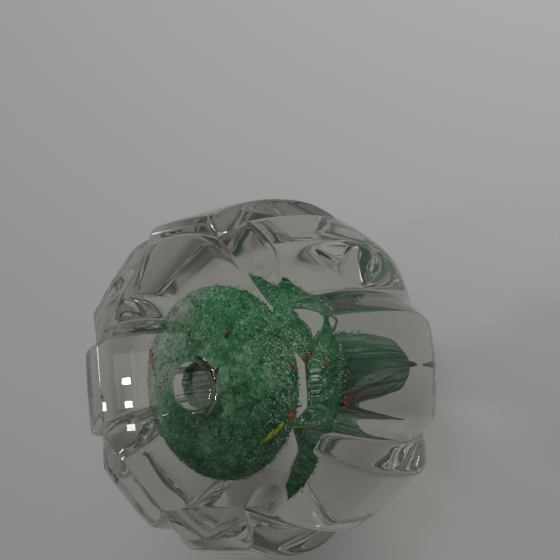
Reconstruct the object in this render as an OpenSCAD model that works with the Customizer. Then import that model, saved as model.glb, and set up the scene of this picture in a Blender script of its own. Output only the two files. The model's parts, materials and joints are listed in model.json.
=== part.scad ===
// Glass flower frog: a heavy clear ball with eight swept lobes, a polished top face and one stem
// socket, over a pear-shaped core coated in green glass crumbs.
// Millimetres. The origin is the middle of the foot, on the axis of the socket, and +Z is up.

/* [Body] */
// Height from the foot to the polished face
body_h = 64; // [63.5:0.5:66]
// Radius over the lobe crests at the belly
belly_r = 47; // [46:0.5:52]
// Radius over the lobe crests at the top rim
rim_r = 40; // [39:0.5:43]
// Radius over the lobe crests at the foot
foot_r = 28; // [24:0.5:32]
// Height of the belly as a share of the body height
belly_level = 0.6; // [0.5:0.01:0.65]
// Radius of the rounded edge round the foot
foot_round = 6; // [3:0.5:8]

/* [Lobes] */
// Depth of the grooves at the belly
groove_depth = 5.5; // [4:0.5:7]
// Depth of the grooves just above the foot
foot_groove_depth = 1.5; // [0.5:0.5:3]
// How much the softened crest is lowered below a sharp one
crest_soften = 0.4; // [0.1:0.1:0.8]
// Slope of the bevel cut across each lobe, in degrees below the face
bevel_angle = 30; // [20:1:40]
// Width of the bevel where it dies out at a groove
bevel_min = 0.6; // [0.3:0.1:1]

/* [Stem socket] */
// Radius of the straight part of the socket
socket_r = 6.1; // [5.6:0.1:6.2]
// Depth of the straight part
socket_depth = 38; // [35:0.5:38]
// Depth of the pointed bottom below the straight part
socket_tip = 12; // [10:0.5:12]
// Width of the ground chamfer round the mouth
mouth_chamfer = 0.7; // [0.3:0.1:1]

/* [Core] */
// Largest radius of the crumb-coated core
core_r = 25; // [24.8:0.1:26]
// Height of the core's widest place above the foot
core_level = 42.5; // [41.5:0.5:43.5]
// Rise of the core's dome above its widest place
dome_rise = 13.5; // [12.5:0.5:14.5]
// Height of the core's tail above the foot
tail_z = 8; // [7:0.1:8.4]
// Thickness of the melted crumb skin
skin_t = 0.6; // [0.5:0.1:0.8]
// Clear glass between the socket and the skin that was pushed in round it
sleeve_t = 1.2; // [1.1:0.1:1.5]

/* [Inclusions] */
// Number of pale grains scattered on the core
pale_grain_count = 44; // [10:1:60]
// Number of coarse dark green crumbs standing proud of the skin
dark_crumb_count = 30; // [10:1:40]

/* [Hidden] */

// The lobes were pressed by hand, so no two are alike. Directions run from +X towards +Y.
lobe_count = 8;
groove_dir = [-110, -60.5, -22, 16, 67, 108, 156, 204];
groove_sweep = [13, 5, 8, 10, 10, 10, 10, 11];
face_corner_r = [33.3, 34.3, 38, 37, 34.2, 34.2, 33.5, 33.5];
// Each lobe has two crests, at these angles inside its grooves, with a flattened back between.
first_crest = [8, 16, 7, 10, 8, 9, 9, 9];
second_crest = [10, 5.5, 4, 6.5, 4, 9, 9, 8];
// What each crest adds to the radius at the belly and at the rim.
first_swell = [0.5, 0.3, 0.8, -1, -0.5, 1, 0, -1];
second_swell = [0.5, -0.4, -2.5, -1, 0, 0, 0, 2.5];
first_rim = [-1.2, -0.6, 2.8, -0.4, 1.2, 1, 0, -1.2];
second_rim = [0.6, 3.2, 1.4, 1, 1.2, 0, 0, -1.8];
back_flat = 0.8;
// Share of the way from the rim to the straight line between grooves that the bevel cuts off,
// at the first crest, the middle and the second crest. Some lobes were hardly bevelled.
bevel_cut = [[0.1, 0.1, 0.9], [1, 1, 1], [0.3, 0.3, 0.3], [1, 1, 1],
  [1, 1, 1], [1, 1, 1], [1, 1, 1], [0.3, 0.1, 0.1]];

// Columns across a lobe: groove, mid flank, crest, three on the back, crest, mid flank.
crest_half = 0.035;
foot_rings = 3;
wall_rings = 13;
lower_fullness = 2.26;
// The wall leaves the foot at this angle above the level.
foot_rise = 38;
foot_top = foot_round * (1 - cos(foot_rise));
round_fn = 96;
gap = 0.12;
least_bevel = 0.05;
eps = 0.01;
lip_width = 2.6;
socket_floor_z = body_h - socket_depth;
socket_point_r = 0.8;
funnel_r = socket_r + sleeve_t;
funnel_tip_wall = 2.4;
funnel_tip_z = socket_floor_z - socket_tip - funnel_tip_wall;
// Bends of the funnel's tip: share of the funnel's radius, share of the depth of the point.
funnel_bends = [[0.82, 0.3], [0.45, 0.75]];
lip_r = funnel_r + lip_width;
// Depth of the edge of the collar under the face.
collar_depth = 4.2;
// The core narrows from its cap to a neck that wraps the tip of the funnel.
neck_r = funnel_r + 1;
cap_reach = 0.3;
profile_steps = 24;

function turn(i) = 360 * floor(i / lobe_count);
function groove_at(i, t) =
  groove_dir[i % lobe_count] + turn(i) - groove_sweep[i % lobe_count] * (1 - t);
function lobe_width(i) = groove_at(i + 1, 1) - groove_at(i, 1);
function polar(r, a) = [r * cos(a), r * sin(a)];
function mix(a, b, k) = a + (b - a) * k;

// Radius at height share t of an outline with the given belly, rim and foot.
function outline_r(t, belly, rim, foot) = t > belly_level
  ? mix(belly, rim, pow((t - belly_level) / (1 - belly_level), 2))
  : mix(belly, foot, pow((belly_level - t) / belly_level, lower_fullness));

function before(i) = (i + lobe_count - 1) % lobe_count;
function groove_env(i, t) = outline_r(t,
  belly_r - groove_depth + (first_swell[i % lobe_count] + second_swell[before(i)]) / 2,
  face_corner_r[i % lobe_count] + bevel_min, foot_r - foot_groove_depth);

function first_share(i) = first_crest[i] / lobe_width(i);
function second_share(i) = 1 - second_crest[i] / lobe_width(i);

// Shares across lobe i at which the wall has a column of points.
function lobe_shares(i) = let (a = first_share(i), b = second_share(i)) [
  0, a * 0.5, a - crest_half, a, a + crest_half,
  mix(a, b, 0.28), mix(a, b, 0.5), mix(a, b, 0.72),
  b - crest_half, b, b + crest_half, mix(b, 1, 0.5)];

// Radius of the back of lobe i, where k runs from its first crest (0) to its second (1).
function back_r(i, k, t) = let (
    half = lobe_width(i) * (second_share(i) - first_share(i)) / 2,
    swell = mix(first_swell[i], second_swell[i], k),
    rim = rim_r + mix(first_rim[i], second_rim[i], k))
  outline_r(t, belly_r + swell, rim, foot_r + swell)
    * mix(1, cos(half) / cos(half * (2 * k - 1)), back_flat);

// Wall radius of lobe i at share s across it and height share t.
function wall_r(i, s, t) = let (
    a = first_share(i), b = second_share(i),
    crest = back_r(i, min(max((s - a) / (b - a), 0), 1), t),
    on_crest = min(abs(s - a), abs(s - b)) < eps)
  s < a ? mix(groove_env(i, t), crest, s / a)
  : s > b ? mix(crest, groove_env(i + 1, t), (s - b) / (1 - b))
  : crest - (on_crest ? crest_soften : 0);

function wall_dir(i, s, t) = mix(groove_at(i, t), groove_at(i + 1, t), s);
function face_corner(i) = polar(face_corner_r[i % lobe_count], groove_at(i, 1));

function rim_corner(i, s) = polar(wall_r(i, s, 1), wall_dir(i, s, 1));
function bevel_share(i, s) = let (a = first_share(i), b = second_share(i))
  lookup(s, [[a, bevel_cut[i][0]], [(a + b) / 2, bevel_cut[i][1]], [b, bevel_cut[i][2]]]);
// Edge of the flat face on lobe i, between the rim and the straight line from groove to groove.
function face_edge(i, s) = mix(rim_corner(i, s),
  mix(face_corner(i), face_corner(i + 1), s), bevel_share(i, s));
// Height of the bevel's outer edge, by the bevel's width square to the line between the grooves.
function top_z(i, s) = let (e = face_corner(i + 1) - face_corner(i), n = [e[1], -e[0]] / norm(e))
  body_h - tan(bevel_angle) * max((rim_corner(i, s) - face_edge(i, s)) * n, least_bevel);

columns = [for (i = [0:lobe_count - 1]) for (s = lobe_shares(i)) [i, s]];
column_count = len(columns);

function foot_point(c, k) = let (a = foot_rise * k / foot_rings, z = foot_round * (1 - cos(a)),
    r = wall_r(c[0], c[1], foot_top / body_h) - foot_round * (sin(foot_rise) - sin(a)))
  concat(polar(r, wall_dir(c[0], c[1], z / body_h)), [z]);
function wall_point(c, k) = let (z = mix(foot_top, top_z(c[0], c[1]), k / wall_rings),
    t = k == wall_rings ? 1 : z / body_h)
  concat(polar(wall_r(c[0], c[1], t), wall_dir(c[0], c[1], t)), [z]);
function face_point(c) = concat(face_edge(c[0], c[1]), [body_h]);

body_points = concat(
  [for (k = [0:foot_rings]) for (c = columns) foot_point(c, k)],
  [for (k = [1:wall_rings]) for (c = columns) wall_point(c, k)],
  [for (c = columns) face_point(c)]);
ring_count = foot_rings + wall_rings + 2;

// Side faces and the two caps of a stack of equal rings.
function ring_faces(n, rings) = concat(
  [[for (j = [0:n - 1]) j]],
  [for (k = [0:rings - 2]) for (j = [0:n - 1]) let (m = (j + 1) % n)
    each [[k * n + j, (k + 1) * n + j, (k + 1) * n + m], [k * n + j, (k + 1) * n + m, k * n + m]]],
  [[for (j = [n - 1:-1:0]) (rings - 1) * n + j]]);

module body_block() {
  polyhedron(body_points, ring_faces(column_count, ring_count), convexity = 8);
}

// Half outline of the core, drawn in by e all round: tail, neck, cap, dome, collar and funnel.
function pear_r(q, e) = (core_r - neck_r) * exp(-pow(q / cap_reach, 2))
  + (neck_r - e) * sqrt(1 - pow(q, 8));
function pear_z(q, e) = mix(core_level, tail_z + e, q);
function pear_side(e) = [for (k = [0:profile_steps]) let (q = 1 - k / profile_steps)
  [q == 1 ? 0 : pear_r(q, e), pear_z(q, e)]];
function dome_z(r, e) = core_level + (dome_rise - e) * sqrt(1 - pow(r / (core_r - e), 2));
function dome(e) = let (steps = 10, end = acos(lip_r / (core_r - e))) [for (k = [1:steps])
  let (a = end * k / steps) [(core_r - e) * cos(a), dome_z((core_r - e) * cos(a), e)]];
// The skin rises as a thin collar round the socket before it turns down into the funnel.
function lip(e) = let (steps = 6, top = dome_z(lip_r, e), rise = e > 0 ? 0 : body_h - collar_depth - top)
  [for (k = [1:steps]) let (a = 90 * k / steps)
    [lip_r - (lip_r - funnel_r - e) * sin(a), top + rise * (1 - cos(a))]];
function funnel(e) = concat(
  [for (b = concat([[1, 0]], funnel_bends))
    [(funnel_r + e) * b[0], socket_floor_z - socket_tip * b[1]]],
  [[0, funnel_tip_z - e]]);
function core_outline(e) = concat(pear_side(e), dome(e), lip(e), funnel(e));

module core_solid(e) {
  rotate_extrude($fn = round_fn) polygon(core_outline(e));
}

module socket() {
  translate([0, 0, socket_floor_z]) cylinder(r = socket_r, h = socket_depth + 1, $fn = round_fn);
  translate([0, 0, socket_floor_z - socket_tip])
    cylinder(r1 = socket_point_r, r2 = socket_r, h = socket_tip, $fn = round_fn);
  translate([0, 0, body_h - mouth_chamfer]) cylinder(r1 = socket_r,
    r2 = socket_r + mouth_chamfer + eps, h = mouth_chamfer + eps, $fn = round_fn);
}

// A place off the core in direction a: from outline point p, lifted square to slope d.
function lifted(a, p, d, lift) = let (n = [d[1], -d[0]] * lift / norm(d))
  concat(polar(p[0] + n[0], a), [p[1] + n[1]]);
// Under the cap, level q runs from the widest ring (0) to the tail (1).
function under_at(q) = [pear_r(q, 0), pear_z(q, 0)];
function on_pear(a, q, lift) = lifted(a, under_at(q), under_at(q) - under_at(q + eps), lift);
// Over the dome at radius r.
function dome_at(r) = [r, dome_z(r, 0)];
function on_dome(a, r, lift) = lifted(a, dome_at(r), dome_at(r - eps) - dome_at(r), lift);

// A drawn-out sliver: six-sided rings along a path, with a radius at each point.
function ring_round(p, along, r) = let (
    u = along / norm(along),
    side = abs(u[2]) > 0.8 ? [1, 0, 0] : [0, 0, 1],
    v = cross(u, side) / norm(cross(u, side)), w = cross(u, v))
  [for (k = [0:5]) p + r * (v * cos(60 * k) + w * sin(60 * k))];
module sliver(path, radii) {
  last = len(path) - 1;
  points = [for (k = [0:last])
    each ring_round(path[k], path[min(k + 1, last)] - path[max(k - 1, 0)], radii[k])];
  polyhedron(points, ring_faces(6, last + 1), convexity = 4);
}

module chip(at, size, tilt) {
  translate(at) rotate(tilt) cube(size, center = true);
}

// Dark streak that hugs the socket under the face.
module streak_shape() {
  path = [for (k = [0:6])
    concat(polar(7.5 + 0.2 * sin(100 * k), -16 - 12 * k), [body_h - 1.1 - 0.3 * k])];
  sliver(path, [0.26, 0.5, 0.34, 0.66, 0.8, 0.7, 0.4]);
  spur = [for (k = [0:3]) concat(polar(7.7 + 0.75 * k, -72 + 3 * k), [body_h - 2.6 - 0.5 * k])];
  sliver(spur, [0.6, 0.45, 0.3, 0.14]);
}

module splinter_shapes() {
  upright = [for (k = [0:4]) on_dome(62 + 2.8 * k, 21.6 - 0.9 * k, 1.1)];
  sliver(upright, [0.16, 0.5, 0.62, 0.45, 0.14]);
  chip(on_dome(-37, 15.2, 1.1), [1.9, 1.3, 0.8], [0, 12, 20]);
  chip(on_dome(12, 13.8, 0.9), [0.9, 0.7, 0.5], [0, 10, -30]);
  lens = [for (k = [0:4]) on_pear(-92, 0.11 + 0.045 * k, 1.1)];
  sliver(lens, [0.12, 0.42, 0.5, 0.4, 0.12]);
}

module red_chip_shapes() {
  chip(on_dome(-113, 24.3, 1.4), [1.4, 2.4, 1.2], [0, 8, -20]);
  chip(on_dome(-86, 24.5, 1.3), [0.9, 1.1, 1.8], [0, 10, 6]);
}

module cane_shape() {
  path = [for (k = [0:5]) on_dome(-118 - 3.8 * k, 23.5 - 0.5 * k, 1.15)];
  sliver(path, [0.3, 0.6, 0.7, 0.66, 0.5, 0.22]);
}

module ribbon_shape() {
  path = [for (k = [0:6]) on_pear(-108 - 4.6 * k, 0.08 + 0.1 * k, 1.25)];
  sliver(path, [0.2, 0.5, 0.72, 0.6, 0.74, 0.5, 0.2]);
}

// Scattered pieces: steps that spread evenly over two directions at once, as shares of each.
round_step = 0.7549;
up_step = 0.5698;
module pale_grain_shapes() {
  for (k = [0:pale_grain_count - 1]) {
    a = -130 + ((k * round_step) % 1) * 76;
    r = 20.4 + ((k * up_step) % 1) * 3.6;
    size = 0.24 + 0.16 * abs(sin(k * 71));
    translate(on_dome(a, r, 2.7 + 0.45 * sin(k * 47)))
      rotate([k * 53, k * 31, 0]) cylinder(r = size, h = size * 2, center = true, $fn = 6);
  }
}

module crumb_shapes() {
  for (k = [0:dark_crumb_count - 1]) {
    a = 62 + ((k * round_step) % 1) * 150;
    q = 0.04 + ((k * up_step) % 1) * 0.66;
    size = 0.5 + 0.3 * abs(sin(k * 83));
    translate(on_pear(a, q, size * 1.6 + gap))
      rotate([k * 41, k * 29, 0]) cylinder(r = size, h = size * 1.7, center = true, $fn = 6);
  }
}

bead_r = 0.9;
module bead_shape() {
  translate([0, 0, tail_z - bead_r - gap]) sphere(r = bead_r, $fn = 32);
}

module casing() {
  color([0.86, 0.9, 0.87, 0.35]) difference() {
    body_block();
    core_solid(0);
    socket();
    streak_shape();
    splinter_shapes();
    red_chip_shapes();
    cane_shape();
    ribbon_shape();
    pale_grain_shapes();
    crumb_shapes();
    bead_shape();
  }
}

module frit_skin() {
  color([0.1, 0.42, 0.24, 0.9]) difference() {
    core_solid(0);
    core_solid(skin_t);
  }
}

module core_gather() {
  color([0.8, 0.88, 0.83, 0.4]) core_solid(skin_t);
}

module dark_streak() {
  color("#1c1a14") streak_shape();
}

module brown_splinters() {
  color("#5a2f1a") splinter_shapes();
}

module red_chips() {
  color("#a03a1e") red_chip_shapes();
}

module yellow_cane() {
  color("#b9b02a") cane_shape();
}

module rust_ribbon() {
  color("#8a3a1c") ribbon_shape();
}

module pale_grains() {
  color("#d8e4d8") pale_grain_shapes();
}

module dark_green_crumbs() {
  color("#0f4a2a") crumb_shapes();
}

module tip_bead() {
  color("#7a2e2a") bead_shape();
}

casing();
frit_skin();
core_gather();
dark_streak();
brown_splinters();
red_chips();
yellow_cane();
rust_ribbon();
pale_grains();
dark_green_crumbs();
tip_bead();
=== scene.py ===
# %% [markdown]
# # A glass flower frog
# A flower frog holds stems upright. This one is a heavy block of clear glass with swept lobes, a
# polished, bevelled face with one stem socket, and a core coated in green glass crumbs.
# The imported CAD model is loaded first. Its nodes give every place and size that follows.

# %% Load the frame
import json
import math
import random

import bmesh
import bpy
import numpy as np
from mathutils import Matrix, Vector, noise


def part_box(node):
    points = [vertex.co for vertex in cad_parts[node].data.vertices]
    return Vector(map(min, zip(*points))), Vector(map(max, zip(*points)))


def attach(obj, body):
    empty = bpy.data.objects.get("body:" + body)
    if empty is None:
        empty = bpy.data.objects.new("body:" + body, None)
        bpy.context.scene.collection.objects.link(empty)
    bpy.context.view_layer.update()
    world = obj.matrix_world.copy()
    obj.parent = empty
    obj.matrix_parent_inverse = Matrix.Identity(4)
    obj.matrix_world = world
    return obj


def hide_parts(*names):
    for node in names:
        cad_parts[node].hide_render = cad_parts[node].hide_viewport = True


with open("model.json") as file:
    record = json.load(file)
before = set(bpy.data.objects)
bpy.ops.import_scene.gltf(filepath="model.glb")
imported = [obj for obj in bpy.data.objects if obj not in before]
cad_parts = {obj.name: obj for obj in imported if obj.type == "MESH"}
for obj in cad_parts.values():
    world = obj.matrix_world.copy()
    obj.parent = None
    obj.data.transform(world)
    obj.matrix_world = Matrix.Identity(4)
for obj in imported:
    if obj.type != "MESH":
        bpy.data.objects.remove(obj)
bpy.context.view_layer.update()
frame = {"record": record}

MM = 0.001
mounts = {mount["name"]: mount for mount in frame["record"]["mounts"]}
body_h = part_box("casing")[1].z / MM
socket_r = mounts["stem_socket"]["dims"]["r_mm"]
core_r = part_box("frit_skin")[1].x / MM
tail_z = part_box("frit_skin")[0].z / MM
print("casing height", round(body_h, 2), "mm, socket radius", socket_r, "mm")
print("core radius", round(core_r, 2), "mm")

# %% [markdown]
# ## Small helpers
# Most pieces here are stacks of rings: the lobed block, the core and every drawn sliver. One helper
# turns an array of rings into a closed mesh of quads, with a fan of triangles at each end. Another
# rides a finished piece on the CAD body and hides the CAD parts that it replaces.


# %% Mesh helpers
def mesh_piece(name, points, faces, material, smooth=True):
    """A mesh object from points in millimetres."""
    mesh = bpy.data.meshes.new(name)
    mesh.from_pydata([tuple(p) for p in np.asarray(points) * MM], [], faces)
    mesh.validate()
    if smooth:
        mesh.polygons.foreach_set("use_smooth", [True] * len(mesh.polygons))
    mesh.materials.append(material)
    piece = bpy.data.objects.new(name, mesh)
    bpy.context.scene.collection.objects.link(piece)
    return piece


def ring_faces(rings, columns, start=0):
    """Quads between neighbouring rings, wound so that they face out on a ring that runs
    anticlockwise while the rings rise."""
    faces = []
    for k in range(rings - 1):
        low, high = start + k * columns, start + (k + 1) * columns
        for j in range(columns):
            m = (j + 1) % columns
            faces.append((low + j, low + m, high + m, high + j))
    return faces


def closed_rings(stack, first, last):
    """Points and faces of a stack of rings, closed by a point at each end."""
    rings, columns = stack.shape[:2]
    points = np.vstack([stack.reshape(-1, 3), first, last])
    faces = ring_faces(rings, columns)
    top = (rings - 1) * columns
    for j in range(columns):
        m = (j + 1) % columns
        faces.append((rings * columns, m, j))
        faces.append((rings * columns + 1, top + j, top + m))
    return points, faces


def settle(piece, slot, *nodes):
    """Rides the piece on the one solid body and hides the CAD parts that it replaces. The slot is not used.
    """
    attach(piece, "root")
    if nodes:
        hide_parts(*nodes)
    print(piece.name, len(piece.data.vertices), "points", len(piece.data.polygons), "faces")


# %% [markdown]
# ## Shared surface effects
# Four effects are used again and again: the mottle of melted crumbs, a soft cloud, streaks that
# were drawn out along the socket, and the wear of a handled polish. Each is a node group with named
# inputs, so one build serves every glass that needs it.


# %% Node helpers
def put(tree, kind, values=None, **settings):
    """A new node with its properties and plain input values."""
    made = tree.nodes.new(kind)
    for name, value in settings.items():
        setattr(made, name, value)
    for name, value in (values or {}).items():
        made.inputs[name].default_value = value
    return made


def join(tree, source, target):
    tree.links.new(source, target)


def sums(tree, operation, a, b=None, clamp=False):
    """A Math node. a and b are sockets or plain numbers. Gives back its output."""
    made = tree.nodes.new("ShaderNodeMath")
    made.operation = operation
    made.use_clamp = clamp
    for place, value in enumerate((a, b)):
        if value is None:
            continue
        if isinstance(value, (int, float)):
            made.inputs[place].default_value = value
        else:
            join(tree, value, made.inputs[place])
    return made.outputs[0]


def remap(tree, value, low, high, to_low=0.0, to_high=1.0):
    """A smooth Map Range of a socket. Gives back its output."""
    made = put(tree, "ShaderNodeMapRange", interpolation_type="SMOOTHSTEP")
    for place, number in enumerate((low, high, to_low, to_high), start=1):
        made.inputs[place].default_value = number
    join(tree, value, made.inputs[0])
    return made.outputs[0]


def blend(tree, share, a, b):
    """Mixes two colours, each a socket or a plain colour. Gives back the result."""
    made = put(tree, "ShaderNodeMix", data_type="RGBA")
    for place, value in ((6, a), (7, b)):
        if isinstance(value, tuple):
            made.inputs[place].default_value = value
        else:
            join(tree, value, made.inputs[place])
    join(tree, share, made.inputs[0])
    return made.outputs[2]


def new_group(name, inputs, outputs):
    """An empty node group with named sockets. Gives back the tree, its inputs and its output."""
    tree = bpy.data.node_groups.new(name, "ShaderNodeTree")
    kinds = {"value": "NodeSocketFloat", "colour": "NodeSocketColor"}
    for label, kind, value in inputs:
        made = tree.interface.new_socket(name=label, in_out="INPUT", socket_type=kinds[kind])
        made.default_value = value
    for label, kind in outputs:
        tree.interface.new_socket(name=label, in_out="OUTPUT", socket_type=kinds[kind])
    return tree, tree.nodes.new("NodeGroupInput").outputs, tree.nodes.new("NodeGroupOutput").inputs


def use_group(tree, group, **values):
    """Places a group in a material. Underscores in the names stand for spaces."""
    made = tree.nodes.new("ShaderNodeGroup")
    made.node_tree = group
    for name, value in values.items():
        made.inputs[name.replace("_", " ")].default_value = value
    return made.outputs


def here(tree):
    """The point being shaded, in the object's own metres."""
    return tree.nodes.new("ShaderNodeTexCoord").outputs["Object"]


# %% [markdown]
# The crumb mottle is a sponge of melted crumbs. Clouds of three sizes are added up: drifts where
# crumbs lay thick, single crumbs, and the fine dust between them. Their sum picks a shade from deep
# through middle to light, and the dust alone lifts some specks to pale. A height comes out too.


# %% Crumb mottle
crumb_mottle, given, out = new_group(
    "crumb_mottle",
    [("Cells per metre", "value", 900.0), ("Pale share", "value", 0.2),
     ("Dark", "colour", (0.02, 0.12, 0.06, 1)), ("Middle", "colour", (0.06, 0.26, 0.13, 1)),
     ("Light", "colour", (0.16, 0.38, 0.22, 1)), ("Pale", "colour", (0.4, 0.6, 0.46, 1))],
    [("Colour", "colour"), ("Height", "value")])
place = here(crumb_mottle)


def mottle_noise(share, **values):
    """One noise whose scale is a share of the cell scale."""
    made = put(crumb_mottle, "ShaderNodeTexNoise", values)
    join(crumb_mottle, place, made.inputs["Vector"])
    join(crumb_mottle, sums(crumb_mottle, "MULTIPLY", given["Cells per metre"], share), made.inputs["Scale"])
    return made.outputs[0]


drift = mottle_noise(0.14, Detail=3.0, Roughness=0.55)
crumb = mottle_noise(0.62, Detail=4.0, Roughness=0.7, Distortion=0.6)
dust = mottle_noise(2.3, Detail=3.0, Roughness=0.75)
depth = sums(crumb_mottle, "ADD", sums(crumb_mottle, "MULTIPLY", drift, 0.9),
             sums(crumb_mottle, "MULTIPLY", crumb, 1.1))
depth = sums(crumb_mottle, "ADD", depth, sums(crumb_mottle, "MULTIPLY", dust, 0.5))
green = blend(crumb_mottle, remap(crumb_mottle, depth, 1.0, 1.27), given["Dark"], given["Middle"])
green = blend(crumb_mottle, remap(crumb_mottle, depth, 1.22, 1.5), green, given["Light"])
pale_from = sums(crumb_mottle, "SUBTRACT", 0.74, sums(crumb_mottle, "MULTIPLY", given["Pale share"], 0.5))
pale = sums(crumb_mottle, "MULTIPLY", sums(crumb_mottle, "SUBTRACT", dust, pale_from), 8.0, clamp=True)
join(crumb_mottle, blend(crumb_mottle, pale, green, given["Pale"]), out["Colour"])
join(crumb_mottle, sums(crumb_mottle, "ADD", crumb, sums(crumb_mottle, "MULTIPLY", dust, 0.5)),
     out["Height"])
print("crumb mottle nodes", len(crumb_mottle.nodes))

# %% [markdown]
# A soft cloud is a mask that drifts between thin and thick, as the crumb layer does where the hot
# gather missed some crumbs. The drawn streaks are a noise that is fine round the axis and long
# along it, because pushing the socket in dragged the glass that way. Dividing the position by its
# own distance from the axis keeps the streaks free of a seam.


# %% Soft cloud and drawn streaks
soft_cloud, given, out = new_group(
    "soft_cloud", [("Cells per metre", "value", 90.0), ("Low", "value", 0.4), ("High", "value", 0.6)],
    [("Mask", "value")])
cloud = put(soft_cloud, "ShaderNodeTexNoise", {"Detail": 5.0, "Roughness": 0.62})
join(soft_cloud, here(soft_cloud), cloud.inputs["Vector"])
join(soft_cloud, given["Cells per metre"], cloud.inputs["Scale"])
edge = put(soft_cloud, "ShaderNodeMapRange", interpolation_type="SMOOTHSTEP")
join(soft_cloud, cloud.outputs[0], edge.inputs[0])
join(soft_cloud, given["Low"], edge.inputs[1])
join(soft_cloud, given["High"], edge.inputs[2])
join(soft_cloud, edge.outputs[0], out["Mask"])


def axis_distance(tree):
    """Distance from the socket's axis, and the point's own coordinates."""
    parts = tree.nodes.new("ShaderNodeSeparateXYZ")
    join(tree, here(tree), parts.inputs[0])
    x, y, z = parts.outputs
    away = sums(tree, "SQRT", sums(tree, "ADD", sums(tree, "MULTIPLY", x, x), sums(tree, "MULTIPLY", y, y)))
    return sums(tree, "MAXIMUM", away, 0.0002), x, y, z


drawn_streaks, given, out = new_group(
    "drawn_streaks", [("Round", "value", 7.0), ("Along", "value", 60.0), ("Low", "value", 0.45),
                      ("High", "value", 0.6)], [("Mask", "value")])
away, x, y, z = axis_distance(drawn_streaks)
flow = put(drawn_streaks, "ShaderNodeCombineXYZ")
join(drawn_streaks, sums(drawn_streaks, "MULTIPLY", sums(drawn_streaks, "DIVIDE", x, away), given["Round"]),
     flow.inputs[0])
join(drawn_streaks, sums(drawn_streaks, "MULTIPLY", sums(drawn_streaks, "DIVIDE", y, away), given["Round"]),
     flow.inputs[1])
join(drawn_streaks, sums(drawn_streaks, "MULTIPLY", z, given["Along"]), flow.inputs[2])
grain = put(drawn_streaks, "ShaderNodeTexNoise", {"Scale": 1.0, "Detail": 3.0, "Roughness": 0.55})
join(drawn_streaks, flow.outputs[0], grain.inputs["Vector"])
edge = put(drawn_streaks, "ShaderNodeMapRange", interpolation_type="SMOOTHSTEP")
join(drawn_streaks, grain.outputs[0], edge.inputs[0])
join(drawn_streaks, given["Low"], edge.inputs[1])
join(drawn_streaks, given["High"], edge.inputs[2])
join(drawn_streaks, edge.outputs[0], out["Mask"])
print("cloud and streak nodes", len(soft_cloud.nodes), len(drawn_streaks.nodes))

# %% [markdown]
# Handled polish is what years of use leave on clear glass: faint smears that dull a polish a
# little, and a very shallow ripple. It is weak everywhere, because this glass is clean.


# %% Handled polish
handled_polish, given, out = new_group(
    "handled_polish", [("Smear", "value", 0.05), ("Ripple", "value", 0.3)],
    [("Roughness", "value"), ("Height", "value")])
smear = put(handled_polish, "ShaderNodeTexNoise", {"Scale": 45.0, "Detail": 2.0, "Distortion": 0.8})
join(handled_polish, here(handled_polish), smear.inputs["Vector"])
join(handled_polish, sums(handled_polish, "MULTIPLY", remap(handled_polish, smear.outputs[0], 0.56, 0.78),
                          given["Smear"]), out["Roughness"])
join(handled_polish, sums(handled_polish, "MULTIPLY", smear.outputs[0], given["Ripple"]), out["Height"])

# %% [markdown]
# ## The clear glass
# Clear glass is a Principled shader with full transmission and the index of soda glass. Light from
# lamps and from diffuse surfaces has to reach the green core inside, and a path tracer can hardly
# find those bent routes, so two Light Path mixes let shadow rays and diffuse rays through
# unbent, faintly tinted. The camera still sees true refraction. Only the ring round the mouth of
# the socket is ground, so its roughness comes from a mask by place.


# %% Clear glass
def new_material(name):
    material = bpy.data.materials.new(name)
    material.use_nodes = True
    material.node_tree.nodes.clear()
    return material, material.node_tree


def lamps_pass(tree, shader, tint):
    """Mixes in a plain see-through shader for shadow rays and for diffuse rays."""
    clear = put(tree, "ShaderNodeBsdfTransparent", {"Color": tint})
    for ray in ("Is Shadow Ray", "Is Diffuse Ray"):
        path = tree.nodes.new("ShaderNodeLightPath")
        mixed = tree.nodes.new("ShaderNodeMixShader")
        join(tree, path.outputs[ray], mixed.inputs[0])
        join(tree, shader, mixed.inputs[1])
        join(tree, clear.outputs[0], mixed.inputs[2])
        shader = mixed.outputs[0]
    return shader


def finish_material(tree, shader):
    join(tree, shader, tree.nodes.new("ShaderNodeOutputMaterial").inputs["Surface"])


SODA_GLASS_INDEX = 1.5
mouth_ring = 0.9
clear_glass, tree = new_material("clear_glass")
wear = use_group(tree, handled_polish, Smear=0.02, Ripple=0.5)
away, x, y, z = axis_distance(tree)
near_mouth = remap(tree, away, (socket_r - 0.1) * MM, (socket_r + mouth_ring) * MM, 1.0, 0.0)
at_top = remap(tree, z, (body_h - 1.1) * MM, (body_h - 0.5) * MM)
ground = sums(tree, "MULTIPLY", near_mouth, at_top)
pits = put(tree, "ShaderNodeTexNoise", {"Scale": 2600.0, "Detail": 3.0, "Roughness": 0.8})
join(tree, here(tree), pits.inputs["Vector"])
rough = sums(tree, "ADD", wear["Roughness"], sums(tree, "MULTIPLY", ground, 0.42), clamp=True)
pitted = sums(tree, "ADD", wear["Height"], sums(tree, "MULTIPLY", sums(tree, "MULTIPLY", ground,
              pits.outputs[0]), 14.0))
bump = put(tree, "ShaderNodeBump", {"Strength": 0.35, "Distance": 0.00002})
join(tree, pitted, bump.inputs["Height"])
glass = put(tree, "ShaderNodeBsdfPrincipled", {
    "Base Color": (0.79, 0.775, 0.725, 1), "Transmission Weight": 1.0, "IOR": SODA_GLASS_INDEX,
    "Metallic": 0.0})
join(tree, rough, glass.inputs["Roughness"])
join(tree, bump.outputs[0], glass.inputs["Normal"])
finish_material(tree, lamps_pass(tree, glass.outputs[0], (0.9, 0.9, 0.87, 1)))
print("clear glass nodes", len(tree.nodes))

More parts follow.
